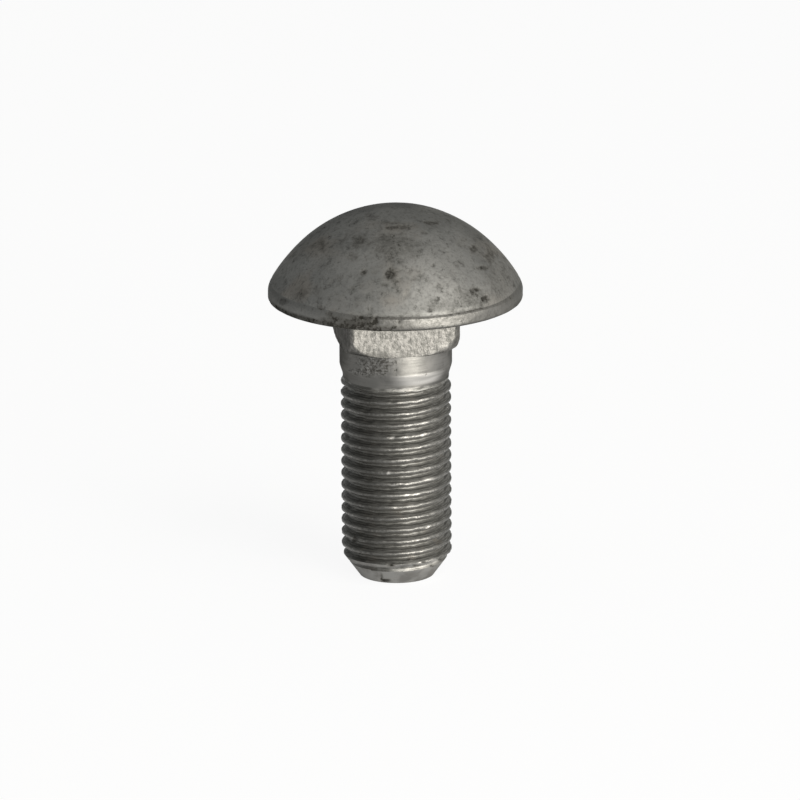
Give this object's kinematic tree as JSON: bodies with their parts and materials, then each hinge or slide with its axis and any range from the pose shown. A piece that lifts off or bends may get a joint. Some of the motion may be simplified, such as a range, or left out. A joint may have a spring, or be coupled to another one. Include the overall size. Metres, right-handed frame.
{
  "type": "carriage bolt",
  "caption": "Short carriage bolt with a high dome head, a square neck that stops it turning, a plain collar and a fine right-hand thread to a chamfered flat end.",
  "frame": {"origin": "middle of the flat end that the bolt stands on", "axes": "+Z along the bolt's axis, from the flat end to the head; the square neck's flats face X and Y"},
  "size_m": [0.0318, 0.0316, 0.0473],
  "materials": {
    "steel": "dull grey forged and rolled steel, satin on the collar, worn bright on the thread's crests"
  },
  "bodies": {
    "root": {"bolt": "steel"}
  },
  "joints": []
}
